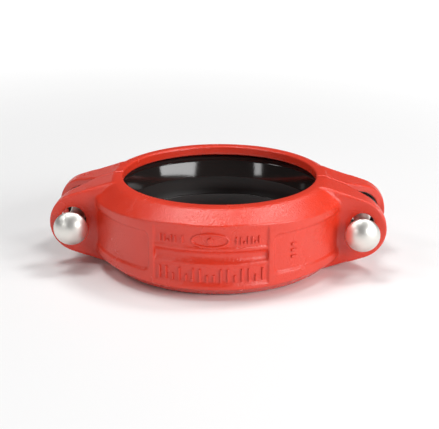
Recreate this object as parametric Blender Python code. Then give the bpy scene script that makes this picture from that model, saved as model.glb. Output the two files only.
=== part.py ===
"""A two-bolt coupling for grooved pipe: two cast housing halves, one rubber gasket, two bolts, two nuts.

The pipe axis is Z and the middle of the coupling is at z = 0. The front half is on the -Y side and the
rear half on the +Y side, and they meet on the plane y = 0. The bolts run along Y through the ears at +X
and -X. Lengths below are in millimetres, and MM turns them into metres.
"""
import math

import bmesh
import bpy
from mathutils import Matrix

MM = 0.001

# Pipe and bore
PIPE_RADIUS = 114.3 / 2
GROOVE_RADIUS = 110.1 / 2
KEY_CLEARANCE = 0.75
KEY_BORE_RADIUS = GROOVE_RADIUS + KEY_CLEARANCE
KEY_WIDTH = 5.3
KEY_SHELF_RADIUS = 58.8

# Housing ring
HALF_WIDTH = 25.0
RIM_RADIUS = 60.3
WALL_RADIUS = 72.5
SHOULDER_EDGE_FRONT = 18.2
SHOULDER_EDGE_SIDE = 15.9
EDGE_FALL_START = 15.0
EDGE_FALL_SPAN = 45.0
SHOULDER_ROLL_WIDTH = 4.5
RECESS_DEPTH = 1.1
RIB_RADIUS = WALL_RADIUS - 0.5
GROOVE_BOTTOM_RADIUS = WALL_RADIUS - 2.6
GROOVE_HALF_WIDTH = 3.7
RIB_EDGE = 4.9
BAND_TOP = 14.2
PANEL_EDGE = 11.3
STEP = 0.4
BAND_END = 25.5
PANEL_START = 28.0
PANEL_END = 79.0
STEP_ANGLE = 0.5
COLUMN_STEP = 6.0
COLUMN_CLEAR = 2.0
SHOULDER_STEPS = 4
GROOVE_FLANK = 0.4
CORE_DEPTH = 4.0
CUT_PAST = 5.0
PARTING_GAP = 0.3

# Gasket pocket inside the housing
POCKET_RADIUS = 65.6
POCKET_HALF_WIDTH = 17.4
TOUCH_GAP = 0.3

# Gasket section
GASKET_BACK_RADIUS = POCKET_RADIUS - TOUCH_GAP
GASKET_HALF_WIDTH = POCKET_HALF_WIDTH - TOUCH_GAP
LIP_ROOT_RADIUS = PIPE_RADIUS + 2.4
LIP_ROOT_Z = 15.2
LIP_TIP_RADIUS = KEY_BORE_RADIUS + 0.2
LIP_TIP_Z = 6.0
LIP_THICKNESS = 1.6
LIP_ROOT_ROLL = 2.0
SIDE_ROUND = 1.4
BACK_ROUND = 2.6
CAVITY_ROUND_WIDTH = 0.8
CAVITY_ROUND_HEIGHT = 1.5
CAVITY_RADIUS = 62.6
CAVITY_HALF_WIDTH = 11.6
GASKET_SEGMENTS = 72

# Ears
BOLT_X = 82.5
EAR_INNER_X = 56.6
EAR_TOP = HALF_WIDTH - 0.1
EAR_TIP_CENTRE_X = 78.4
EAR_TIP_RADIUS = 17.8
EAR_TAPER = math.radians(18.3)
SEAT_Y = 20.8
PAD_END_X = 72.0
MOUTH_ANGLE = math.radians(35.0)
MOUTH_END_X = 93.5
FUNNEL_RIM = 3.6
FUNNEL_BACK = 7.5
FUNNEL_WEB = 2.5
HOLE_WIDTH = 14.0
HOLE_HEIGHT = 19.0
TIP_STEPS = 12
HOLE_SEGMENTS = 24

# Bolts and nuts
HEAD_STANDOFF = 8.7
HEAD_RADIUS = 9.8
HEAD_EDGE = 1.4
HEAD_HEIGHT = 7.2
SHANK_RADIUS = 4.9
NECK_HALF_HEIGHT = 7.0
NECK_LENGTH = 6.0
NECK_RUN_OUT = 1.0
DOME_STEPS = 6
BOLT_LENGTH = 65.0
BOLT_CHAMFER = 1.0
NUT_ACROSS_FLATS = 17.0
NUT_THICKNESS = 10.0
NUT_BORE_RADIUS = SHANK_RADIUS + TOUCH_GAP
NUT_CHAMFER = 1.0
NUT_FACE_INSET = 0.2
ROUND_SEGMENTS = 32
NUT_SEGMENTS = 48


def clear_scene():
    """Remove what the scene holds."""
    for thing in list(bpy.data.objects):
        bpy.data.objects.remove(thing, do_unlink=True)


def make_material(name, colour, roughness, metallic):
    """A Principled material with one colour."""
    material = bpy.data.materials.new(name)
    material.use_nodes = True
    shader = material.node_tree.nodes["Principled BSDF"]
    shader.inputs["Base Color"].default_value = (*colour, 1.0)
    shader.inputs["Roughness"].default_value = roughness
    shader.inputs["Metallic"].default_value = metallic
    return material


def make_object(name, mesh_builder, material=None):
    """Turn a bmesh in millimetres into a named object in metres."""
    bmesh.ops.transform(mesh_builder, matrix=Matrix.Scale(MM, 4), verts=mesh_builder.verts)
    bmesh.ops.recalc_face_normals(mesh_builder, faces=mesh_builder.faces)
    mesh = bpy.data.meshes.new(name)
    mesh_builder.to_mesh(mesh)
    mesh_builder.free()
    made = bpy.data.objects.new(name, mesh)
    bpy.context.collection.objects.link(made)
    if material:
        mesh.materials.append(material)
    return made


def make_cutter(name, mesh_builder):
    """A hidden helper solid for a Boolean."""
    made = make_object(name, mesh_builder)
    made.hide_render = True
    made.display_type = "WIRE"
    return made


def boolean(target, operation, helper):
    """Add an exact Boolean with a helper solid."""
    modifier = target.modifiers.new(helper.name, "BOOLEAN")
    modifier.operation = operation
    modifier.solver = "EXACT"
    modifier.object = helper


def loft(builder, loops, close_ends):
    """Join equal loops of points one after another; cap both ends, or join the last loop to the first."""
    rings = [[builder.verts.new(point) for point in loop] for loop in loops]
    pairs = list(zip(rings, rings[1:]))
    if not close_ends:
        pairs.append((rings[-1], rings[0]))
    for ring, following in pairs:
        for index in range(len(ring)):
            after = (index + 1) % len(ring)
            builder.faces.new((ring[index], ring[after], following[after], following[index]))
    if close_ends:
        builder.faces.new(list(reversed(rings[0])))
        builder.faces.new(rings[-1])


def smooth_rounds(thing, angle):
    """Shade round walls smooth and keep the real edges sharp."""
    thing.data.shade_smooth()
    thing.data.set_sharp_from_angle(angle=math.radians(angle))


# ---------------------------------------------------------------- housing halves

def ease(value):
    """A smooth step from 0 to 1."""
    value = min(max(value, 0.0), 1.0)
    return value * value * (3.0 - 2.0 * value)


def wall_half(angle):
    """Radius and height of the outer wall from the rim down to the middle, at an angle off the front."""
    side = ease((angle - EDGE_FALL_START) / EDGE_FALL_SPAN)
    edge = SHOULDER_EDGE_FRONT + (SHOULDER_EDGE_SIDE - SHOULDER_EDGE_FRONT) * side
    slope = (HALF_WIDTH - edge) / (WALL_RADIUS - RIM_RADIUS - SHOULDER_ROLL_WIDTH / 2)
    points = []
    for step in range(SHOULDER_STEPS + 1):
        across = SHOULDER_ROLL_WIDTH * step / SHOULDER_STEPS
        fall = slope * across ** 2 / (2.0 * SHOULDER_ROLL_WIDTH)
        points.append((RIM_RADIUS + across, HALF_WIDTH - fall))
    points.append((WALL_RADIUS, edge))
    in_band = angle < BAND_END
    in_panel = PANEL_START < angle < PANEL_END
    sunk = WALL_RADIUS - RECESS_DEPTH
    band = sunk if in_band else WALL_RADIUS
    panel = sunk if in_band or in_panel else WALL_RADIUS
    rib = RIB_RADIUS if in_band else panel
    bottom = GROOVE_BOTTOM_RADIUS if in_band else panel
    flank = bottom + (rib - bottom) * GROOVE_FLANK
    points += [(band, BAND_TOP), (band, PANEL_EDGE + STEP), (panel, PANEL_EDGE), (panel, RIB_EDGE + STEP)]
    points += [(rib, RIB_EDGE), (rib, GROOVE_HALF_WIDTH), (flank, GROOVE_HALF_WIDTH * 0.5), (bottom, 0.0)]
    return points


def column_angles():
    """Angles of the housing's columns on one side of the front, with close pairs at each step."""
    steps = [BAND_END, BAND_END + STEP_ANGLE, PANEL_START, PANEL_START + STEP_ANGLE]
    steps += [PANEL_END - STEP_ANGLE, PANEL_END]
    count = int(90.0 / COLUMN_STEP)
    regular = [COLUMN_STEP * index for index in range(count)]
    kept = [angle for angle in regular if all(abs(angle - step) > COLUMN_CLEAR for step in steps)]
    return sorted(kept + steps)


def wall_column(angle):
    """One closed loop of the solid ring's section, turned to its angle round the pipe axis."""
    upper = wall_half(abs(angle))
    section = upper + [(radius, -height) for radius, height in reversed(upper[:-1])]
    core = KEY_BORE_RADIUS - CORE_DEPTH
    section += [(core, -HALF_WIDTH), (core, HALF_WIDTH)]
    if abs(angle) == 90.0:
        side = math.copysign(1.0, angle)
        return [(side * radius, -PARTING_GAP / 2, height) for radius, height in section]
    turn = math.radians(angle)
    return [(radius * math.sin(turn), -radius * math.cos(turn), height) for radius, height in section]


def ring_builder():
    """The solid half ring, before its bore and pocket are cut."""
    one_side = column_angles() + [90.0]
    angles = [-angle for angle in reversed(one_side[1:])] + one_side
    builder = bmesh.new()
    loft(builder, [wall_column(angle) for angle in angles], close_ends=True)
    return builder


def ear_outline():
    """The ear seen along the bolt: two tapering edges and a round tip, as points in x and z."""
    first = math.pi / 2 - EAR_TAPER
    arc = []
    for step in range(TIP_STEPS + 1):
        turn = first - 2.0 * first * step / TIP_STEPS
        arc.append((EAR_TIP_CENTRE_X + EAR_TIP_RADIUS * math.cos(turn), EAR_TIP_RADIUS * math.sin(turn)))
    tangent_x, tangent_z = arc[0]
    level_x = tangent_x - (EAR_TOP - tangent_z) / math.tan(EAR_TAPER)
    upper = [(EAR_INNER_X, EAR_TOP), (level_x, EAR_TOP)]
    return upper + arc + [(x, -z) for x, z in reversed(upper)]


def prism_builder(outline, near_y, far_y):
    """A prism along Y between two heights."""
    builder = bmesh.new()
    loft(builder, [[(x, y, z) for x, z in outline] for y in (near_y, far_y)], close_ends=True)
    return builder


def mouth_y(x):
    """The ear's inner face, which opens away from the parting plane beyond the pad."""
    return -(x - PAD_END_X) * math.tan(MOUTH_ANGLE)


def mouth_builder():
    """The wedge that opens the gap between the two ears."""
    end_y = mouth_y(MOUTH_END_X)
    reach = EAR_TIP_CENTRE_X + EAR_TIP_RADIUS + CUT_PAST
    plan = [(PAD_END_X, 0.0), (MOUTH_END_X, end_y), (reach, end_y), (reach, CUT_PAST), (PAD_END_X, CUT_PAST)]
    builder = bmesh.new()
    height = HALF_WIDTH + CUT_PAST
    loops = [[(x, y, level) for x, y in plan] for level in (-height, height)]
    loft(builder, loops, close_ends=True)
    return builder


def hole_turns():
    """Angles of the points round the bolt hole and its funnel."""
    return [2.0 * math.pi * (step + 0.5) / HOLE_SEGMENTS for step in range(HOLE_SEGMENTS)]


def hole_outline():
    """The tall oval bolt hole, as points in x and z."""
    radius = HOLE_WIDTH / 2
    straight = HOLE_HEIGHT / 2 - radius
    points = []
    for turn in hole_turns():
        shift = math.copysign(straight, math.sin(turn))
        points.append((BOLT_X + radius * math.cos(turn), radius * math.sin(turn) + shift))
    return points


def funnel_reach(turn):
    """How far the funnel's wide end reaches from the bolt axis, one rim's width inside the ear's edge."""
    tip = EAR_TIP_RADIUS - FUNNEL_RIM
    across = math.cos(turn)
    off = BOLT_X - EAR_TIP_CENTRE_X
    on_tip = math.sqrt((off * across) ** 2 + tip ** 2 - off ** 2) - off * across
    if off + on_tip * across > tip * math.sin(EAR_TAPER):
        return on_tip
    limits = []
    lean = across * math.sin(EAR_TAPER) + abs(math.sin(turn)) * math.cos(EAR_TAPER)
    if lean > 0.0:
        limits.append((tip - off * math.sin(EAR_TAPER)) / lean)
    if across < 0.0:
        limits.append(-FUNNEL_BACK / across)
    return min(limits)


def core_builder():
    """The cored bolt hole: a tall oval through the seat, which widens to a funnel at the ear's inner face."""
    wide = []
    for turn in hole_turns():
        reach = funnel_reach(turn)
        wide.append((BOLT_X + reach * math.cos(turn), reach * math.sin(turn)))
    loops = [[(x, y, z) for x, z in hole_outline()] for y in (-SEAT_Y - CUT_PAST, FUNNEL_WEB - SEAT_Y)]
    for rise in (TOUCH_GAP, CUT_PAST):
        loops.append([(x, mouth_y(x) + rise, z) for x, z in wide])
    builder = bmesh.new()
    loft(builder, loops, close_ends=True)
    return builder


def turned_builder(section, segments):
    """A closed section of radius and height points, turned all the way round the pipe axis."""
    loops = []
    for index in range(segments):
        turn = 2.0 * math.pi * index / segments
        loops.append([(r * math.cos(turn), r * math.sin(turn), z) for r, z in section])
    builder = bmesh.new()
    loft(builder, loops, close_ends=False)
    return builder


def cavity_builder():
    """What is cut from the solid ring: the bore past the keys, and the gasket's pocket."""
    key_z = HALF_WIDTH - KEY_WIDTH
    end_z = HALF_WIDTH + CUT_PAST
    half = [(KEY_BORE_RADIUS, end_z), (KEY_BORE_RADIUS, key_z), (KEY_SHELF_RADIUS, key_z)]
    half.append((POCKET_RADIUS, POCKET_HALF_WIDTH))
    section = half + [(r, -z) for r, z in reversed(half)]
    core = KEY_BORE_RADIUS - CORE_DEPTH - CUT_PAST
    section += [(core, -end_z), (core, end_z)]
    return turned_builder(section, GASKET_SEGMENTS)


def mirrored(builder):
    """The same solid on the other side of the pipe axis, across x = 0."""
    bmesh.ops.scale(builder, vec=(-1.0, 1.0, 1.0), verts=builder.verts)
    bmesh.ops.reverse_faces(builder, faces=builder.faces)
    return builder


def make_housing(name, material, turn):
    """One casting: the ring, its two ears, the gasket's pocket and the bolt holes."""
    housing = make_object(name, ring_builder(), material)
    ear_back = -PARTING_GAP / 2
    for side, flip in (("right", False), ("left", True)):
        ear = prism_builder(ear_outline(), -SEAT_Y, ear_back)
        shapes = [("ear", ear, "UNION"), ("mouth", mouth_builder(), "DIFFERENCE")]
        shapes.append(("core", core_builder(), "DIFFERENCE"))
        for part, builder, operation in shapes:
            if flip:
                builder = mirrored(builder)
            helper = make_cutter(f"{name}_{side}_{part}", builder)
            helper.rotation_euler.z = turn
            boolean(housing, operation, helper)
    boolean(housing, "DIFFERENCE", make_cutter(f"{name}_cavity", cavity_builder()))
    housing.rotation_euler.z = turn
    smooth_rounds(housing, 30.0)
    return housing


# ---------------------------------------------------------------- gasket

def gasket_section():
    """The gasket's C section: a round back, two sides, and two lips that lean towards the middle."""
    lip_fall = (LIP_ROOT_RADIUS - LIP_TIP_RADIUS) / (LIP_ROOT_Z - LIP_TIP_Z)
    under_root = LIP_TIP_RADIUS + LIP_THICKNESS + (CAVITY_HALF_WIDTH - LIP_TIP_Z) * lip_fall
    half = [
        (GASKET_BACK_RADIUS, GASKET_HALF_WIDTH - BACK_ROUND),
        (GASKET_BACK_RADIUS - SIDE_ROUND, GASKET_HALF_WIDTH),
        (LIP_ROOT_RADIUS + LIP_ROOT_ROLL, GASKET_HALF_WIDTH),
        (LIP_ROOT_RADIUS, LIP_ROOT_Z),
        (LIP_TIP_RADIUS, LIP_TIP_Z),
        (LIP_TIP_RADIUS + LIP_THICKNESS, LIP_TIP_Z),
        (under_root, CAVITY_HALF_WIDTH),
        (CAVITY_RADIUS - CAVITY_ROUND_WIDTH, CAVITY_HALF_WIDTH),
        (CAVITY_RADIUS, CAVITY_HALF_WIDTH - CAVITY_ROUND_HEIGHT),
    ]
    return half + [(r, -z) for r, z in reversed(half)]


def make_gasket(material):
    """One rubber ring, held in the pocket of both halves."""
    gasket = make_object("gasket", turned_builder(gasket_section(), GASKET_SEGMENTS), material)
    smooth_rounds(gasket, 40.0)
    return gasket


# ---------------------------------------------------------------- bolts and nuts

def oval_loop(y, half_width, half_height):
    """A round or tall oval loop in x and z at one y."""
    straight = half_height - half_width
    points = []
    for index in range(ROUND_SEGMENTS):
        turn = 2.0 * math.pi * (index + 0.5) / ROUND_SEGMENTS
        shift = math.copysign(straight, math.sin(turn))
        points.append((half_width * math.cos(turn), y, half_width * math.sin(turn) + shift))
    return points


def bolt_loops():
    """The bolt from the top of its domed head to its end; y = 0 is the face under the head."""
    dome = HEAD_HEIGHT - HEAD_EDGE
    sphere = (HEAD_RADIUS ** 2 + dome ** 2) / (2.0 * dome)
    loops = []
    for step in range(1, DOME_STEPS + 1):
        radius = HEAD_RADIUS * step / DOME_STEPS
        drop = sphere - math.sqrt(sphere ** 2 - radius ** 2)
        loops.append(oval_loop(-HEAD_HEIGHT + drop, radius, radius))
    loops.append(oval_loop(0.0, HEAD_RADIUS, HEAD_RADIUS))
    loops.append(oval_loop(0.0, SHANK_RADIUS, NECK_HALF_HEIGHT))
    loops.append(oval_loop(NECK_LENGTH - NECK_RUN_OUT, SHANK_RADIUS, NECK_HALF_HEIGHT))
    loops.append(oval_loop(NECK_LENGTH, SHANK_RADIUS, SHANK_RADIUS))
    loops.append(oval_loop(BOLT_LENGTH - BOLT_CHAMFER, SHANK_RADIUS, SHANK_RADIUS))
    tip = SHANK_RADIUS - BOLT_CHAMFER
    loops.append(oval_loop(BOLT_LENGTH, tip, tip))
    return loops


def make_bolt(name, side, material):
    """A bolt with a domed head and an oval neck, its origin on its own axis."""
    builder = bmesh.new()
    loft(builder, bolt_loops(), close_ends=True)
    bolt = make_object(name, builder, material)
    bolt.location = (side * BOLT_X * MM, -(SEAT_Y + HEAD_STANDOFF) * MM, 0.0)
    smooth_rounds(bolt, 35.0)
    return bolt


def nut_loop(y, bore, limit):
    """A loop of the nut at one y: its bore, or its hexagon cut to a circle of the limit's radius."""
    points = []
    for index in range(NUT_SEGMENTS):
        turn = 2.0 * math.pi * index / NUT_SEGMENTS
        within = (math.degrees(turn) + 30.0) % 60.0 - 30.0
        radius = bore
        if limit:
            radius = min(NUT_ACROSS_FLATS / 2 / math.cos(math.radians(within)), limit)
        points.append((radius * math.sin(turn), y, radius * math.cos(turn)))
    return points


def make_nut(name, side, material):
    """A hexagon nut, its origin on the bolt axis at the face that bears on the ear."""
    corner = NUT_ACROSS_FLATS / 2 / math.cos(math.radians(30.0))
    face = NUT_ACROSS_FLATS / 2 - NUT_FACE_INSET
    loops = [
        nut_loop(0.0, NUT_BORE_RADIUS, None),
        nut_loop(0.0, None, face),
        nut_loop(NUT_CHAMFER, None, corner),
        nut_loop(NUT_THICKNESS - NUT_CHAMFER, None, corner),
        nut_loop(NUT_THICKNESS, None, face),
        nut_loop(NUT_THICKNESS, NUT_BORE_RADIUS, None),
    ]
    builder = bmesh.new()
    loft(builder, loops, close_ends=False)
    nut = make_object(name, builder, material)
    nut.location = (side * BOLT_X * MM, (SEAT_Y + TOUCH_GAP) * MM, 0.0)
    smooth_rounds(nut, 25.0)
    return nut


def build():
    """Make every piece of the coupling."""
    clear_scene()
    red_paint = (0.79, 0.055, 0.032)
    zinc = (0.78, 0.78, 0.76)
    front_paint = make_material("front_housing_paint", red_paint, 0.35, 0.0)
    rear_paint = make_material("rear_housing_paint", red_paint, 0.35, 0.0)
    make_housing("front_housing", front_paint, 0.0)
    make_housing("rear_housing", rear_paint, math.pi)
    make_gasket(make_material("gasket_rubber", (0.012, 0.012, 0.012), 0.4, 0.0))
    for name, side in (("right", 1), ("left", -1)):
        make_bolt(f"{name}_bolt", side, make_material(f"{name}_bolt_zinc", zinc, 0.28, 1.0))
        make_nut(f"{name}_nut", side, make_material(f"{name}_nut_zinc", zinc, 0.3, 1.0))


build()
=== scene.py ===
"""A two-bolt coupling for grooved pipe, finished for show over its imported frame.

The pipe axis is Z. The bolt heads face -Y and the nuts +Y. The two halves are one casting, the
second turned half way round the pipe axis. Lengths are in millimetres times MM.
"""
import math

import bmesh
import bpy
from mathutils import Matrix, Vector


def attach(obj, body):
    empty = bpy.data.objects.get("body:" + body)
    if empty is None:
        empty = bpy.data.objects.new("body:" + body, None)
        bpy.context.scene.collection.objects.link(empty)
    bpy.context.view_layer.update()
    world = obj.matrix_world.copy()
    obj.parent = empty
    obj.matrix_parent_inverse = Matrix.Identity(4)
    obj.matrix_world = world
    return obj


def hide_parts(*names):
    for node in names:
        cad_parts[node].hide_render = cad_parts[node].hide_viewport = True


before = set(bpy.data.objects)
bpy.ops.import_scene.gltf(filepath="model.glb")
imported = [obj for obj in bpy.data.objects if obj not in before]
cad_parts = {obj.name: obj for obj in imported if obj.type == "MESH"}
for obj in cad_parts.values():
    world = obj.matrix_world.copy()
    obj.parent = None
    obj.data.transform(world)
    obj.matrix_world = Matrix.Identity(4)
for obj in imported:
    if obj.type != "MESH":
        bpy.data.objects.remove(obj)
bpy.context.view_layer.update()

MM = 0.001
DEG = math.pi / 180.0

# Ring
RIM_Z = 25.0
RIM_R = 60.3
WALL_R = 72.5
SUNK_R = 71.4
EDGE_Z = 18.2
KEY_R = 55.8
KEY_Z = 19.7
SHELF_R = 58.8
POCKET_R = 65.6
POCKET_Z = 17.4
PART_Y = -0.15

# Ears
SEAT_Y = -20.8
EAR_Z = 24.9
TIP_X = 78.4
TIP_R = 17.8
BOLT_X = 82.5
MOUTH_X = 72.0
MOUTH_TAN = math.tan(35.0 * DEG)
TAPER = 18.3 * DEG
EAR_START_X = 56.6
MOUTH_END_X = 93.5
HOLE_R = 7.0
HOLE_SHIFT = 2.5
FUNNEL_RIM = 3.6
FUNNEL_BACK = 7.5
FUNNEL_WEB = 2.5
CAST_VOXEL = 0.7

# Bolts and nuts
HEAD_Y = -29.5
NUT_Y = 21.1

# Where the painted shade in the cored holes starts, and where it is full
CORE_SHADE_R = (16.0, 15.2)
CORE_SHADE_X = (74.0, 74.8)
CORE_SHADE_Y = (20.6, 19.8)
CORE_SHADE_PAST_MOUTH = (0.5, 1.8)

# Painted shade darkens a piece from its -Y end up to these; the bolt's lies beyond its head, so only the
# nut's bearing face is darkened
BOLT_SHADE_TO_Y = -60.0
NUT_SHADE_TO_Y = 21.9


# ---------------------------------------------------------------- working in the shop

def only(*pieces):
    """Leave nothing selected but these pieces, with the first one active."""
    if bpy.context.object and bpy.context.object.mode != "OBJECT":
        bpy.ops.object.mode_set(mode="OBJECT")
    bpy.ops.object.select_all(action="DESELECT")
    for piece in pieces:
        piece.select_set(True)
    bpy.context.view_layer.objects.active = pieces[0]


def fresh(name):
    """Name the primitive that was just added."""
    piece = bpy.context.object
    piece.name = name
    piece.data.name = name
    return piece


def clear():
    """Deselect everything before a primitive is added."""
    if bpy.context.object and bpy.context.object.mode != "OBJECT":
        bpy.ops.object.mode_set(mode="OBJECT")
    bpy.ops.object.select_all(action="DESELECT")


def edit(piece):
    """Open one piece in edit mode."""
    only(piece)
    bpy.ops.object.mode_set(mode="EDIT")
    bpy.ops.mesh.select_all(action="SELECT")


def done():
    """Close edit mode."""
    bpy.ops.object.mode_set(mode="OBJECT")


def pick(test):
    """Select only the edges whose two ends, in millimetres, pass a test."""
    piece = bpy.context.edit_object
    bpy.ops.mesh.select_mode(type="EDGE")
    bpy.ops.mesh.select_all(action="DESELECT")
    shape = bmesh.from_edit_mesh(piece.data)
    for edge in shape.edges:
        if test(edge.verts[0].co / MM, edge.verts[1].co / MM):
            edge.select_set(True)
    bmesh.update_edit_mesh(piece.data)


def outward(piece):
    """Merge doubles and turn every face outwards."""
    edit(piece)
    bpy.ops.mesh.remove_doubles(threshold=0.00001)
    bpy.ops.mesh.normals_make_consistent(inside=False)
    done()


def settle(piece):
    """Bake the piece's place into its mesh, so that its object sits at the origin."""
    only(piece)
    bpy.ops.object.transform_apply(location=True, rotation=True, scale=True)


def apply_all(piece):
    """Apply the piece's modifiers in order."""
    only(piece)
    for step in list(piece.modifiers):
        bpy.ops.object.modifier_apply(modifier=step.name)


def combine(piece, tool, way):
    """Join, cut or trim a piece with a tool, and put the tool away."""
    step = piece.modifiers.new("combine", "BOOLEAN")
    step.operation = way
    step.solver = "EXACT"
    step.object = tool
    apply_all(piece)
    bpy.data.objects.remove(tool, do_unlink=True)
    edit(piece)
    bpy.ops.mesh.remove_doubles(threshold=0.000005)
    done()


def copied(piece, name):
    """A copy with its own mesh."""
    twin = piece.copy()
    twin.data = piece.data.copy()
    twin.name = name
    twin.data.name = name
    bpy.context.collection.objects.link(twin)
    return twin


def mirrored(piece, name):
    """The same piece on the other side of the pipe axis."""
    twin = copied(piece, name)
    twin.scale.x = -1.0
    settle(twin)
    outward(twin)
    return twin


def outline(name, points, filled):
    """A closed outline through points in millimetres, filled as one face or left as wire."""
    clear()
    bpy.ops.mesh.primitive_circle_add(vertices=len(points), radius=MM,
                                      fill_type="NGON" if filled else "NOTHING")
    piece = fresh(name)
    for corner, place in zip(piece.data.vertices, points):
        corner.co = Vector(place) * MM
    return piece


def prism(name, points, rise):
    """An outline pushed out along a direction into a solid."""
    piece = outline(name, points, True)
    edit(piece)
    bpy.ops.mesh.extrude_region_move(TRANSFORM_OT_translate={"value": Vector(rise) * MM})
    done()
    outward(piece)
    return piece


def spun(name, section, start, end, steps):
    """A section of radius and height, swept round the pipe axis between two angles off the front."""
    turn = start * DEG
    points = [(r * math.sin(turn), -r * math.cos(turn), z) for r, z in section]
    whole = abs(end - start) >= 360.0
    piece = outline(name, points, not whole)
    edit(piece)
    bpy.ops.mesh.spin(steps=steps, angle=(start - end) * DEG, center=(0, 0, 0), axis=(0, 0, 1),
                      use_auto_merge=True)
    done()
    outward(piece)
    return piece


def both_ways(half):
    """A section and its mirror image below the middle."""
    return half + [(r, -z) for r, z in reversed(half)]


# ---------------------------------------------------------------- one cast half

def angle_off_front(place):
    """Angle of a point round the pipe axis, from the front, in degrees."""
    return math.degrees(math.atan2(place.x, -place.y))


def ease(value):
    """A smooth step from 0 to 1."""
    value = min(max(value, 0.0), 1.0)
    return value * value * (3.0 - 2.0 * value)


def solid_ring():
    """The half ring before its bands, bore and pocket are cut."""
    roll = 4.5
    slope = (RIM_Z - EDGE_Z) / (WALL_R - RIM_R - roll / 2)
    half = [(50.0, RIM_Z), (RIM_R - 1.0, RIM_Z)]
    for step in range(9):
        across = roll * step / 8
        half.append((RIM_R + across, RIM_Z - slope * across * across / (2 * roll)))
    half.append((WALL_R, EDGE_Z))
    ring = spun("ring", both_ways(half), -90.0, 90.0, 180)
    edge_r = WALL_R - 0.05
    for corner in ring.data.vertices:
        place = corner.co / MM
        reach = math.hypot(place.x, place.y)
        if reach < RIM_R + 0.2:
            continue
        side = ease((abs(angle_off_front(place)) - 15.0) / 45.0)
        drop = 2.3 * side * min((reach - RIM_R) / (edge_r - RIM_R), 1.0)
        corner.co.z -= math.copysign(drop * MM, place.z)
    edit(ring)
    bpy.ops.mesh.bisect(plane_co=(0, PART_Y * MM, 0), plane_no=(0, 1, 0), use_fill=True, clear_outer=True)
    done()
    outward(ring)
    return ring


def rounded(piece, test, width, segments):
    """Round the edges that pass a test."""
    edit(piece)
    pick(test)
    bpy.ops.mesh.bevel(offset=width * MM, offset_type="OFFSET", segments=segments, affect="EDGES")
    done()


def wrapped(piece, angle):
    """Bend a flat piece round the ring: x becomes a length along the sunk wall, and -y stands out of it."""
    for corner in piece.data.vertices:
        place = corner.co / MM
        turn = angle * DEG + place.x / SUNK_R
        reach = SUNK_R - place.y
        corner.co = Vector((reach * math.sin(turn), -reach * math.cos(turn), place.z)) * MM
    outward(piece)
    return piece


def panel_tool(start, end):
    """The solid that sinks a flank panel: a slab with round corners, bent round the ring."""
    length = (end - start) * DEG * SUNK_R
    clear()
    bpy.ops.mesh.primitive_cube_add(size=1.0, scale=(length * MM, 6.0 * MM, 22.6 * MM),
                                    location=(0, -3.0 * MM, 0))
    slab = fresh("panel")
    settle(slab)
    rounded(slab, lambda a, b: abs(a.y - b.y) > 1.0, 3.4, 8)
    edit(slab)
    count = int(length / 1.3)
    for step in range(1, count):
        bpy.ops.mesh.select_all(action="SELECT")
        cut_x = (step / count - 0.5) * length
        bpy.ops.mesh.bisect(plane_co=(cut_x * MM, 0, 0), plane_no=(1, 0, 0))
    done()
    return wrapped(slab, (start + end) / 2)


def cut_bands(ring):
    """Sink the front band with its two ribs and channel, and the two flank panels."""
    far = 78.0
    section = [(far, 18.5), (WALL_R, 17.0), (SUNK_R, 14.3), (SUNK_R, 4.9), (WALL_R - 0.5, 4.9)]
    channel_x = 74.2
    for step in range(13):
        turn = (120.8 + 118.4 * step / 12) * DEG
        section.append((channel_x + 4.31 * math.cos(turn), 4.31 * math.sin(turn)))
    section += [(r, -z) for r, z in reversed(section[:5])]
    combine(ring, spun("band", section, -25.6, 25.6, 64), "DIFFERENCE")
    for start, end in ((28.4, 84.0), (-84.0, -28.4)):
        combine(ring, panel_tool(start, end), "DIFFERENCE")


def ear_outline():
    """The ear seen along the bolt, in x and z."""
    first = math.pi / 2 - TAPER
    arc = []
    for step in range(41):
        turn = first - 2.0 * first * step / 40
        arc.append((TIP_X + TIP_R * math.cos(turn), TIP_R * math.sin(turn)))
    touch_x, touch_z = arc[0]
    level_x = touch_x - (EAR_Z - touch_z) / math.tan(TAPER)
    upper = [(EAR_START_X, EAR_Z), (level_x, EAR_Z)]
    return upper + arc + [(x, -z) for x, z in reversed(upper)]


def mouth_y(x):
    """The ear's inner face, which leans away from the other half."""
    return -(x - MOUTH_X) * MOUTH_TAN


def funnel_reach(turn):
    """How far the ear's cored funnel reaches from the bolt axis, inside the ear's edge."""
    tip = TIP_R - FUNNEL_RIM
    across = math.cos(turn)
    off = BOLT_X - TIP_X
    on_tip = math.sqrt((off * across) ** 2 + tip ** 2 - off ** 2) - off * across
    if off + on_tip * across > tip * math.sin(TAPER):
        return on_tip
    limits = []
    lean = across * math.sin(TAPER) + abs(math.sin(turn)) * math.cos(TAPER)
    if lean > 0.0:
        limits.append((tip - off * math.sin(TAPER)) / lean)
    if across < 0.0:
        limits.append(-FUNNEL_BACK / across)
    return min(limits)


def core():
    """The cored bolt hole: a tall oval through the seat, which widens to a funnel at the ear's inner face."""
    row = 10.0
    start_y = SEAT_Y - 5.0
    narrow = []
    for step in range(64):
        turn = 2.0 * math.pi * (step + 0.5) / 64
        z = HOLE_R * math.sin(turn) + math.copysign(HOLE_SHIFT, math.sin(turn))
        narrow.append((BOLT_X + HOLE_R * math.cos(turn), start_y, z))
    solid = prism("core", narrow, (0, 3 * row, 0))
    edit(solid)
    pick(lambda a, b: abs(a.y - b.y) > 1.0)
    bpy.ops.mesh.subdivide(number_cuts=2)
    done()
    for corner in solid.data.vertices:
        place = corner.co / MM
        level = round((place.y - start_y) / row)
        if level == 1:
            corner.co.y = (SEAT_Y + FUNNEL_WEB) * MM
        if level > 1:
            turn = math.atan2(place.z - math.copysign(HOLE_SHIFT, place.z), place.x - BOLT_X)
            reach = funnel_reach(turn)
            x = BOLT_X + reach * math.cos(turn)
            rise = 0.3 if level == 2 else 5.0
            corner.co = Vector((x, mouth_y(x) + rise, reach * math.sin(turn))) * MM
    outward(solid)
    return solid


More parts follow.
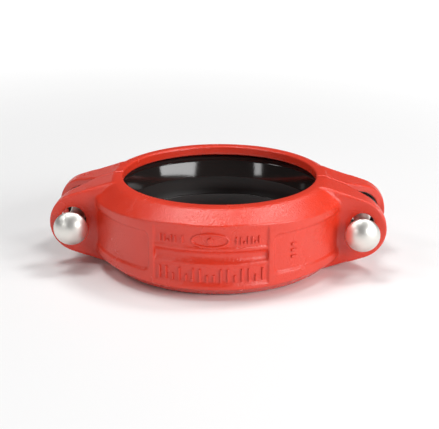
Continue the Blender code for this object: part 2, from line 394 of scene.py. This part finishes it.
def ear_tools():
    """The right ear, and the solids that cut its mouth and its cored bolt hole."""
    ear = prism("ear", [(x, SEAT_Y, z) for x, z in ear_outline()], (0, PART_Y - SEAT_Y, 0))
    end_y = mouth_y(MOUTH_END_X)
    plan = [(MOUTH_X, 0.0), (MOUTH_END_X, end_y), (102.0, end_y), (102.0, 6.0), (MOUTH_X, 6.0)]
    mouth = prism("mouth", [(x, y, -30.0) for x, y in plan], (0, 0, 60.0))
    return [(ear, "UNION"), (mouth, "DIFFERENCE"), (core(), "DIFFERENCE")]


def cavity():
    """The bore between the keys and the gasket's pocket, as one solid."""
    half = [(40.0, 32.0), (KEY_R, 32.0), (KEY_R, KEY_Z), (SHELF_R, KEY_Z), (POCKET_R, POCKET_Z)]
    return spun("cavity", both_ways(half), 0.0, 360.0, 240)


def corner_weights(piece):
    """Weigh the inner corner between the ear's seat and the ring, where the casting has a wide fillet."""
    group = piece.vertex_groups.new(name="fillet")
    for corner in piece.data.vertices:
        place = corner.co / MM
        away = math.hypot(math.hypot(place.x, place.y) - WALL_R + 2.0, (place.y - SEAT_Y) * 1.2)
        if abs(place.x) > 54.0 and away < 9.0 and place.y < -14.0:
            group.add([corner.index], ease((9.0 - away) / 4.0), "REPLACE")
    return group.name


def cast_half():
    """One casting: ring, ears, pocket and holes, with the soft edges of a sand casting."""
    half = solid_ring()
    cut_bands(half)
    for tool, way in ear_tools():
        twin = mirrored(tool, tool.name + "_left")
        combine(half, tool, way)
        combine(half, twin, way)
    combine(half, cavity(), "DIFFERENCE")
    skin = half.modifiers.new("skin", "REMESH")
    skin.mode = "VOXEL"
    skin.voxel_size = CAST_VOXEL * MM
    soften = half.modifiers.new("soften", "SMOOTH")
    soften.factor = 0.5
    soften.iterations = 1
    apply_all(half)
    fillet = half.modifiers.new("fillet", "SMOOTH")
    fillet.factor = 0.5
    fillet.iterations = 26
    fillet.vertex_group = corner_weights(half)
    apply_all(half)
    half.vertex_groups.clear()
    half.name = "housing"
    return half


# ---------------------------------------------------------------- raised foundry marks

def bar(angle, height, width, tall):
    """A short raised bar on the sunk band, at an angle off the front and a height."""
    clear()
    bpy.ops.mesh.primitive_cube_add(size=1.0, location=(0, 0, 0))
    piece = fresh("bar")
    piece.scale = (width * MM, 1.8 * MM, tall * MM)
    settle(piece)
    edit(piece)
    bpy.ops.mesh.bevel(offset=0.32 * MM, segments=2, affect="EDGES")
    done()
    piece.location = (0, -(SUNK_R + 0.05) * MM, height * MM)
    settle(piece)
    piece.rotation_euler.z = angle * DEG
    settle(piece)
    return piece


def dot(angle, height, radius):
    """A raised round dot on the sunk band."""
    clear()
    bpy.ops.mesh.primitive_cylinder_add(vertices=24, radius=radius * MM, depth=1.8 * MM,
                                        rotation=(90.0 * DEG, 0, 0))
    piece = fresh("dot")
    settle(piece)
    rounded(piece, lambda a, b: abs(a.y - b.y) < 0.1 and a.y < 0, 0.3, 3)
    piece.location = (0, -(SUNK_R + 0.05) * MM, height * MM)
    settle(piece)
    piece.rotation_euler.z = angle * DEG
    settle(piece)
    return piece


def oval_ring(height, half_width, half_height):
    """A raised oval ring at the middle of the front."""
    clear()
    bpy.ops.mesh.primitive_torus_add(major_segments=64, minor_segments=10, major_radius=0.01,
                                     minor_radius=0.85 * MM, rotation=(90.0 * DEG, 0, 0))
    piece = fresh("oval_ring")
    settle(piece)
    for corner in piece.data.vertices:
        place = corner.co / MM
        around = math.atan2(place.z, place.x)
        out = math.hypot(place.x, place.z) - 10.0
        x = (half_width + out) * math.cos(around)
        z = (half_height + out) * math.sin(around)
        depth = SUNK_R - 0.05 - place.y
        turn = x / SUNK_R
        corner.co = Vector((depth * math.sin(turn), -depth * math.cos(turn), height + z)) * MM
    return piece


def foundry_marks():
    """Rows of plain bars and dots, as pattern makers add to tell castings apart."""
    marks = [oval_ring(9.4, 10.0, 3.7), dot(0.0, 9.4, 1.7)]
    for angle in (-22.5, -20.6, -17.4, -15.5, -12.3, 11.4, 13.4, 16.4, 18.4, 21.4):
        marks.append(bar(angle, 9.4, 1.0, 4.2))
    for angle in (-19.0, 14.9, 19.9):
        marks.append(dot(angle, 8.2, 0.8))
    tall = (7.4, 7.4, 4.0, 7.4, 4.0, 7.4, 7.4, 4.0, 4.0, 7.4, 7.4, 4.0, 7.4, 7.4, 4.0, 7.4)
    for step, rise in enumerate(tall):
        angle = -23.0 + step * 46.0 / (len(tall) - 1)
        marks.append(bar(angle, -14.2 + rise / 2, 1.2, rise))
    for height in (-3.6, 0.0, 3.6):
        marks.append(bar(38.5, height, 3.6, 1.5))
    only(*marks)
    bpy.ops.object.join()
    return fresh("marks")


# ---------------------------------------------------------------- gasket

def make_gasket():
    """A moulded rubber ring of C section, whose lips lean in towards the middle."""
    back_r = POCKET_R - 0.3
    half_z = POCKET_Z - 0.3
    corners = [(back_r, half_z, 1.6), (61.6, half_z, 0.8), (59.55, 15.0, 0.5),
               (56.0, 5.4, 0.35), (57.6, 5.4, 0.35)]
    half = [(r, z) for r, z, width in corners]
    for step in range(9):
        turn = (75.0 - 9.0 * step) * DEG
        half.append((58.5 + 4.1 * math.cos(turn), 11.6 * math.sin(turn)))
    gasket = spun("gasket_ring", both_ways(half), 0.0, 360.0, 240)
    edit(gasket)
    for r, z, width in corners:
        def on_corner(a, b):
            return all(abs(math.hypot(p.x, p.y) - r) < 0.02 and abs(abs(p.z) - z) < 0.02 for p in (a, b))
        pick(on_corner)
        bpy.ops.mesh.bevel(offset=width * MM, segments=4, affect="EDGES")
    done()
    outward(gasket)
    return gasket


# ---------------------------------------------------------------- bolts and nuts

def turned(name, section, steps):
    """A section of radius and y, from axis to axis, turned round the Y axis."""
    clear()
    bpy.ops.mesh.primitive_circle_add(vertices=len(section), radius=MM, fill_type="NOTHING")
    piece = fresh(name)
    for corner, (r, y) in zip(piece.data.vertices, section):
        corner.co = Vector((r, y, 0.0)) * MM
    edit(piece)
    if section[0][0] == 0.0 and section[-1][0] == 0.0:
        pick(lambda a, b: abs(a.x) < 0.001 and abs(b.x) < 0.001)
        bpy.ops.mesh.delete(type="EDGE")
        bpy.ops.mesh.select_all(action="SELECT")
    bpy.ops.mesh.spin(steps=steps, angle=2.0 * math.pi, center=(0, 0, 0), axis=(0, 1, 0), use_auto_merge=True)
    done()
    outward(piece)
    return piece


THREAD = 1.5
CREST_R = 4.88
THREAD_DEPTH = 0.9


def thread_radius(phase):
    """Radius of the thread at a part of its pitch: flat crest, slanted flanks, flat root."""
    away = abs(phase % 1.0 - 0.5) * 2.0
    return CREST_R - THREAD_DEPTH * min(max((away - 0.12) / 0.66, 0.0), 1.0)


def threaded(start_y, end_y):
    """A threaded rod between two heights along Y."""
    rows = int((end_y - start_y) / THREAD * 10)
    clear()
    bpy.ops.mesh.primitive_cylinder_add(vertices=48, radius=CREST_R * MM, depth=(end_y - start_y) * MM,
                                        location=(0, (start_y + end_y) / 2 * MM, 0),
                                        rotation=(90.0 * DEG, 0, 0))
    rod = fresh("thread")
    settle(rod)
    edit(rod)
    pick(lambda a, b: abs(a.y - b.y) > 1.0)
    bpy.ops.mesh.subdivide(number_cuts=rows - 1)
    done()
    for corner in rod.data.vertices:
        place = corner.co / MM
        around = math.atan2(place.z, place.x)
        from_end = min(end_y - place.y, 1.2) / 1.2
        reach = thread_radius(place.y / THREAD - around / (2.0 * math.pi))
        reach = min(reach, 3.9 + from_end * 1.2)
        corner.co.x = reach * math.cos(around) * MM
        corner.co.z = reach * math.sin(around) * MM
    return rod


def make_bolt():
    """A track bolt with a domed head, an oval neck and a rolled thread, on the Y axis."""
    head_r = 9.75
    top = 7.15
    side = 1.5
    dome = top - side
    ball = (head_r ** 2 + dome ** 2) / (2.0 * dome)
    section = [(0.0, -top)]
    for step in range(1, 25):
        r = head_r * step / 24
        section.append((r, -top + ball - math.sqrt(ball ** 2 - r ** 2)))
    section += [(head_r, -0.05), (0.0, -0.05)]
    head = turned("bolt", section, 96)
    rounded(head, lambda a, b: all(abs(math.hypot(p.x, p.z) - head_r) < 0.02 for p in (a, b))
            and abs(a.y - b.y) < 0.02, 0.55, 4)
    neck_points = []
    for step in range(48):
        turn = 2.0 * math.pi * (step + 0.5) / 48
        shift = math.copysign(2.1, math.sin(turn))
        neck_points.append((4.86 * math.cos(turn), -1.0, 4.86 * math.sin(turn) + shift))
    neck = prism("neck", neck_points, (0, 6.9, 0))
    rounded(neck, lambda a, b: a.y > 5.0 and b.y > 5.0, 0.9, 4)
    outward(neck)
    combine(head, neck, "UNION")
    shank = turned("shank", [(0.0, 2.0), (4.5, 2.0), (4.5, 31.0), (0.0, 31.0)], 48)
    combine(head, shank, "UNION")
    combine(head, threaded(29.0, 64.95), "UNION")
    outward(head)
    return head


def make_nut():
    """A chamfered hexagon nut on the Y axis, its bearing face at y = 0."""
    clear()
    bpy.ops.mesh.primitive_cylinder_add(vertices=6, radius=9.79 * MM, depth=9.96 * MM,
                                        location=(0, 5.0 * MM, 0), rotation=(90.0 * DEG, 0, 0))
    nut = fresh("nut")
    settle(nut)
    chamfer = [(0.0, 0.02), (8.4, 0.02), (9.8, 0.82), (9.8, 9.18), (8.4, 9.98), (0.0, 9.98)]
    combine(nut, turned("chamfer", chamfer, 96), "INTERSECT")
    bore = [(0.0, -1.0), (5.55, -1.0), (5.55, 0.02), (4.98, 0.6),
            (4.98, 9.4), (5.55, 9.98), (5.55, 11.0), (0.0, 11.0)]
    combine(nut, turned("bore", bore, 48), "DIFFERENCE")
    outward(nut)
    step = nut.modifiers.new("edge", "BEVEL")
    step.width = 0.16 * MM
    step.segments = 2
    step.limit_method = "ANGLE"
    step.angle_limit = 25.0 * DEG
    apply_all(nut)
    return nut


# ---------------------------------------------------------------- finishes

def new_group(name, inputs, outputs):
    """An empty shader node group with named sockets."""
    group = bpy.data.node_groups.new(name, "ShaderNodeTree")
    for label, kind, value in inputs:
        socket = group.interface.new_socket(name=label, in_out="INPUT", socket_type=kind)
        if value is not None:
            socket.default_value = value
    for label, kind in outputs:
        group.interface.new_socket(name=label, in_out="OUTPUT", socket_type=kind)
    group.nodes.new("NodeGroupInput")
    group.nodes.new("NodeGroupOutput")
    return group


def node(tree, kind, **values):
    """Add a node and set its properties."""
    made = tree.nodes.new(kind)
    for key, value in values.items():
        setattr(made, key, value)
    return made


def wire(tree, source, target):
    """Link one socket to another."""
    tree.links.new(source, target)


def ends(tree):
    """The group's input and output nodes."""
    first = next(n for n in tree.nodes if n.bl_idname == "NodeGroupInput")
    last = next(n for n in tree.nodes if n.bl_idname == "NodeGroupOutput")
    return first, last


def build_cast_grain():
    """The fine pebbled skin that paint takes from a sand mould."""
    tree = new_group("cast grain",
                     [("Size", "NodeSocketFloat", 1000.0), ("Offset", "NodeSocketVector", None)],
                     [("Height", "NodeSocketFloat"), ("Mottle", "NodeSocketFloat")])
    first, last = ends(tree)
    place = node(tree, "ShaderNodeTexCoord")
    shift = node(tree, "ShaderNodeVectorMath", operation="ADD")
    wire(tree, place.outputs["Object"], shift.inputs[0])
    wire(tree, first.outputs["Offset"], shift.inputs[1])
    grain = node(tree, "ShaderNodeTexNoise")
    grain.inputs["Detail"].default_value = 2.0
    grain.inputs["Roughness"].default_value = 0.55
    wire(tree, shift.outputs[0], grain.inputs["Vector"])
    wire(tree, first.outputs["Size"], grain.inputs["Scale"])
    swell = node(tree, "ShaderNodeTexNoise")
    swell.inputs["Scale"].default_value = 260.0
    swell.inputs["Detail"].default_value = 3.0
    wire(tree, shift.outputs[0], swell.inputs["Vector"])
    both = node(tree, "ShaderNodeMath", operation="MULTIPLY_ADD")
    both.inputs[1].default_value = 0.35
    wire(tree, swell.outputs[0], both.inputs[0])
    wire(tree, grain.outputs[0], both.inputs[2])
    wire(tree, both.outputs[0], last.inputs["Height"])
    broad = node(tree, "ShaderNodeTexNoise")
    broad.inputs["Scale"].default_value = 45.0
    broad.inputs["Detail"].default_value = 4.0
    wire(tree, shift.outputs[0], broad.inputs["Vector"])
    wire(tree, broad.outputs[0], last.inputs["Mottle"])
    return tree


def blank_material(name):
    """A material with its Principled shader."""
    material = bpy.data.materials.new(name)
    material.use_nodes = True
    tree = material.node_tree
    return material, tree, tree.nodes["Principled BSDF"]


def placed(tree, group):
    """A node that uses a shared group."""
    made = tree.nodes.new("ShaderNodeGroup")
    made.node_tree = group
    return made


def masked(tree, source, start, end):
    """A factor that goes from 0 to 1 as a value goes from start to end, in metres."""
    made = node(tree, "ShaderNodeMapRange", interpolation_type="SMOOTHSTEP")
    made.inputs["From Min"].default_value = start
    made.inputs["From Max"].default_value = end
    wire(tree, source, made.inputs["Value"])
    return made.outputs["Result"]


def build_painted_core_shade():
    """A mask of the ears' cored holes, where shade is painted in as near-black."""
    tree = new_group("painted core shade", [], [("Painted shade", "NodeSocketFloat")])
    last = ends(tree)[1]
    place = node(tree, "ShaderNodeTexCoord")
    size = node(tree, "ShaderNodeVectorMath", operation="ABSOLUTE")
    wire(tree, place.outputs["Object"], size.inputs[0])
    split = node(tree, "ShaderNodeSeparateXYZ")
    wire(tree, size.outputs[0], split.inputs[0])
    across = node(tree, "ShaderNodeMath", operation="SUBTRACT")
    across.inputs[1].default_value = TIP_X * MM
    wire(tree, split.outputs["X"], across.inputs[0])
    flat = node(tree, "ShaderNodeCombineXYZ")
    wire(tree, across.outputs[0], flat.inputs["X"])
    wire(tree, split.outputs["Z"], flat.inputs["Z"])
    reach = node(tree, "ShaderNodeVectorMath", operation="LENGTH")
    wire(tree, flat.outputs[0], reach.inputs[0])
    slant = node(tree, "ShaderNodeMath", operation="MULTIPLY_ADD")
    slant.inputs[1].default_value = -MOUTH_TAN
    wire(tree, split.outputs["X"], slant.inputs[0])
    wire(tree, split.outputs["Y"], slant.inputs[2])
    start = -MOUTH_X * MOUTH_TAN
    factors = [masked(tree, reach.outputs["Value"], CORE_SHADE_R[0] * MM, CORE_SHADE_R[1] * MM),
               masked(tree, split.outputs["X"], CORE_SHADE_X[0] * MM, CORE_SHADE_X[1] * MM),
               masked(tree, split.outputs["Y"], CORE_SHADE_Y[0] * MM, CORE_SHADE_Y[1] * MM),
               masked(tree, slant.outputs[0], (start + CORE_SHADE_PAST_MOUTH[0]) * MM,
                      (start + CORE_SHADE_PAST_MOUTH[1]) * MM)]
    whole = factors[0]
    for factor in factors[1:]:
        both = node(tree, "ShaderNodeMath", operation="MULTIPLY")
        wire(tree, whole, both.inputs[0])
        wire(tree, factor, both.inputs[1])
        whole = both.outputs[0]
    wire(tree, whole, last.inputs["Painted shade"])
    return tree


def clouded(tree, grain, shader, smooth_end, rough_end):
    """Let the roughness wander between two values with the mottle."""
    rough = node(tree, "ShaderNodeMapRange")
    rough.inputs["To Min"].default_value = smooth_end
    rough.inputs["To Max"].default_value = rough_end
    wire(tree, grain.outputs["Mottle"], rough.inputs["Value"])
    wire(tree, rough.outputs["Result"], shader.inputs["Roughness"])


def pebbled(tree, grain, shader, strength, distance):
    """Raise the grain from the surface, to a distance in metres."""
    bump = node(tree, "ShaderNodeBump")
    bump.inputs["Strength"].default_value = strength
    bump.inputs["Distance"].default_value = distance
    wire(tree, grain.outputs["Height"], bump.inputs["Height"])
    wire(tree, bump.outputs["Normal"], shader.inputs["Normal"])


def paint_material(name, grain_group, core_group, offset):
    """Satin salmon-red paint over a sand casting, with painted shade in the ears' cored holes."""
    material, tree, shader = blank_material(name)
    grain = placed(tree, grain_group)
    grain.inputs["Size"].default_value = 1050.0
    grain.inputs["Offset"].default_value = offset
    tone = node(tree, "ShaderNodeMix", data_type="RGBA")
    tone.inputs["A"].default_value = (0.68, 0.032, 0.012, 1.0)
    tone.inputs["B"].default_value = (0.75, 0.043, 0.016, 1.0)
    wire(tree, grain.outputs["Mottle"], tone.inputs["Factor"])
    # Painted shade: the cored holes are coloured near-black, where shade falls in them
    hole_shade = placed(tree, core_group)
    shade_mix = node(tree, "ShaderNodeMix", data_type="RGBA")
    shade_mix.inputs["B"].default_value = (0.022, 0.015, 0.012, 1.0)
    wire(tree, hole_shade.outputs["Painted shade"], shade_mix.inputs["Factor"])
    wire(tree, tone.outputs["Result"], shade_mix.inputs["A"])
    wire(tree, shade_mix.outputs["Result"], shader.inputs["Base Color"])
    clouded(tree, grain, shader, 0.20, 0.32)
    pebbled(tree, grain, shader, 1.0, 0.0003)
    shader.inputs["IOR"].default_value = 1.6
    return material


def rubber_material(grain_group):
    """Black moulded rubber with a soft gloss."""
    material, tree, shader = blank_material("gasket rubber")
    grain = placed(tree, grain_group)
    grain.inputs["Size"].default_value = 900.0
    shader.inputs["Base Color"].default_value = (0.016, 0.012, 0.011, 1.0)
    place = node(tree, "ShaderNodeTexCoord")
    flat = node(tree, "ShaderNodeVectorMath", operation="MULTIPLY")
    flat.inputs[1].default_value = (1.0, 1.0, 0.0)
    wire(tree, place.outputs["Object"], flat.inputs[0])
    reach = node(tree, "ShaderNodeVectorMath", operation="LENGTH")
    wire(tree, flat.outputs[0], reach.inputs[0])
    deep = node(tree, "ShaderNodeMapRange")
    deep.inputs["From Min"].default_value = 59.8 * MM
    deep.inputs["From Max"].default_value = 60.8 * MM
    deep.inputs["To Min"].default_value = 0.06
    deep.inputs["To Max"].default_value = 0.42
    wire(tree, reach.outputs["Value"], deep.inputs["Value"])
    rough = node(tree, "ShaderNodeMath", operation="MULTIPLY_ADD")
    rough.inputs[1].default_value = 0.08
    wire(tree, grain.outputs["Mottle"], rough.inputs[0])
    wire(tree, deep.outputs["Result"], rough.inputs[2])
    wire(tree, rough.outputs[0], shader.inputs["Roughness"])
    pebbled(tree, grain, shader, 0.06, 0.0002)
    shader.inputs["IOR"].default_value = 1.5
    return material


def zinc_material(name, grain_group, colour, offset, shade_to_y):
    """Bright zinc plate, slightly clouded, with painted shade on it below a height along Y."""
    material, tree, shader = blank_material(name)
    grain = placed(tree, grain_group)
    grain.inputs["Size"].default_value = 1400.0
    grain.inputs["Offset"].default_value = offset
    tone = node(tree, "ShaderNodeMix", data_type="RGBA")
    tone.inputs["A"].default_value = (colour[0] * 0.86, colour[1] * 0.84, colour[2] * 0.80, 1.0)
    tone.inputs["B"].default_value = (*colour, 1.0)
    wire(tree, grain.outputs["Mottle"], tone.inputs["Factor"])
    place = node(tree, "ShaderNodeTexCoord")
    split = node(tree, "ShaderNodeSeparateXYZ")
    wire(tree, place.outputs["Object"], split.inputs[0])
    # Painted shade: below the given height along Y the zinc turns near-black and non-metallic, where shade
    # falls
    unshaded = masked(tree, split.outputs["Y"], (shade_to_y - 0.2) * MM, shade_to_y * MM)
    shade_mix = node(tree, "ShaderNodeMix", data_type="RGBA")
    shade_mix.inputs["A"].default_value = (0.012, 0.009, 0.008, 1.0)
    wire(tree, unshaded, shade_mix.inputs["Factor"])
    wire(tree, tone.outputs["Result"], shade_mix.inputs["B"])
    wire(tree, shade_mix.outputs["Result"], shader.inputs["Base Color"])
    wire(tree, unshaded, shader.inputs["Metallic"])
    clouded(tree, grain, shader, 0.34, 0.5)
    pebbled(tree, grain, shader, 0.12, 0.0002)
    return material


def dress(piece, material, body, cad_node):
    """Give a finished piece its material and its place in the frame, and hide the imported part it stands
    for.
    """
    settle(piece)
    piece.name = cad_node + "_finished"
    piece.data.materials.clear()
    piece.data.materials.append(material)
    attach(piece, body)
    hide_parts(cad_node)


def smooth(piece, angle):
    """Shade smooth, with creases where faces meet at more than an angle."""
    only(piece)
    bpy.ops.object.shade_smooth_by_angle(angle=angle * DEG, keep_sharp_edges=False)


# ---------------------------------------------------------------- making the coupling

grain_group = build_cast_grain()
core_group = build_painted_core_shade()
rubber = rubber_material(grain_group)

front = cast_half()
rear = copied(front, "rear")
rear.rotation_euler.z = math.pi
settle(rear)
combine(front, foundry_marks(), "UNION")
smooth(front, 60.0)
smooth(rear, 60.0)
front_paint = paint_material("front paint", grain_group, core_group, (0.0, 0.0, 0.0))
rear_paint = paint_material("rear paint", grain_group, core_group, (0.3, 0.1, 0.2))
dress(front, front_paint, "front_half", "front_housing")
dress(rear, rear_paint, "rear_half", "rear_housing")

gasket = make_gasket()
smooth(gasket, 40.0)
dress(gasket, rubber, "front_half", "gasket")

bolt = make_bolt()
smooth(bolt, 38.0)
nut = make_nut()
smooth(nut, 30.0)
for side, sign in (("right", 1.0), ("left", -1.0)):
    one_bolt = copied(bolt, side + "_bolt_made")
    one_bolt.location = (sign * BOLT_X * MM, HEAD_Y * MM, 0)
    bolt_zinc = zinc_material(side + " bolt zinc", grain_group, (0.86, 0.85, 0.82), (0.1 * sign, 0, 0),
                              BOLT_SHADE_TO_Y)
    dress(one_bolt, bolt_zinc, side + "_bolt_body", side + "_bolt")
    one_nut = copied(nut, side + "_nut_made")
    one_nut.location = (sign * BOLT_X * MM, NUT_Y * MM, 0)
    nut_zinc = zinc_material(side + " nut zinc", grain_group, (0.82, 0.82, 0.80), (0.2 * sign, 0, 0),
                             NUT_SHADE_TO_Y)
    dress(one_nut, nut_zinc, side + "_nut_body", side + "_nut")
for spare in (bolt, nut):
    bpy.data.objects.remove(spare, do_unlink=True)


# ---------------------------------------------------------------- floor, light and camera

clear()
bpy.ops.mesh.primitive_plane_add(size=8.0, location=(0, 0, -25.05 * MM))
floor = fresh("floor")
floor_material, floor_tree, floor_shader = blank_material("pale floor")
floor_shader.inputs["Base Color"].default_value = (0.86, 0.86, 0.86, 1.0)
floor_shader.inputs["Roughness"].default_value = 0.7
floor_place = node(floor_tree, "ShaderNodeTexCoord")
floor_reach = node(floor_tree, "ShaderNodeVectorMath", operation="LENGTH")
wire(floor_tree, floor_place.outputs["Object"], floor_reach.inputs[0])
glow = masked(floor_tree, floor_reach.outputs["Value"], 0.22, 1.1)
floor_shader.inputs["Emission Color"].default_value = (1.0, 1.0, 1.0, 1.0)
wire(floor_tree, glow, floor_shader.inputs["Emission Strength"])
floor.data.materials.append(floor_material)

world = bpy.data.worlds.new("studio")
bpy.context.scene.world = world
world.use_nodes = True
world.node_tree.nodes["Background"].inputs["Color"].default_value = (1.0, 1.0, 1.0, 1.0)
world.node_tree.nodes["Background"].inputs["Strength"].default_value = 0.09
bpy.context.scene.view_settings.view_transform = "Standard"


def softbox(name, azimuth, elevation, away, width, height, power):
    """A rectangular light that looks at the coupling, placed by its direction."""
    turn = azimuth * DEG
    lift = elevation * DEG
    place = Vector((math.sin(turn) * math.cos(lift), -math.cos(turn) * math.cos(lift), math.sin(lift))) * away
    clear()
    bpy.ops.object.light_add(type="AREA", location=place)
    lamp = bpy.context.object
    lamp.name = name
    lamp.data.shape = "RECTANGLE"
    lamp.data.size = width
    lamp.data.size_y = height
    lamp.data.energy = power
    lamp.rotation_euler = (-place).to_track_quat("-Z", "Y").to_euler()
    return lamp


softbox("overhead box", -110.0, 77.0, 1.4, 0.5, 0.38, 7.6)
softbox("rear box", 125.0, 62.0, 1.4, 0.34, 0.34, 6.0)
softbox("right box", 56.0, 22.0, 1.6, 1.23, 0.46, 17.5)
softbox("left strip", -43.5, 22.0, 1.6, 0.22, 0.46, 2.4)
softbox("right side box", 82.0, 48.0, 1.5, 0.35, 0.35, 3.2)
softbox("left side box", -75.0, 45.0, 1.5, 0.3, 0.3, 2.6)

bpy.ops.object.camera_add()
camera = bpy.context.object
camera.name = "camera"
camera.data.lens = 118.9
camera.data.sensor_width = 36.0
view_turn = 4.0 * DEG
view_lift = 18.95 * DEG
aim = Vector((0.0, 0.0, 0.0))
away = Vector((math.sin(view_turn) * math.cos(view_lift), -math.cos(view_turn) * math.cos(view_lift),
               math.sin(view_lift)))
camera.location = aim + away * 0.845
camera.rotation_euler = (-away).to_track_quat("-Z", "Y").to_euler()
bpy.context.scene.camera = camera
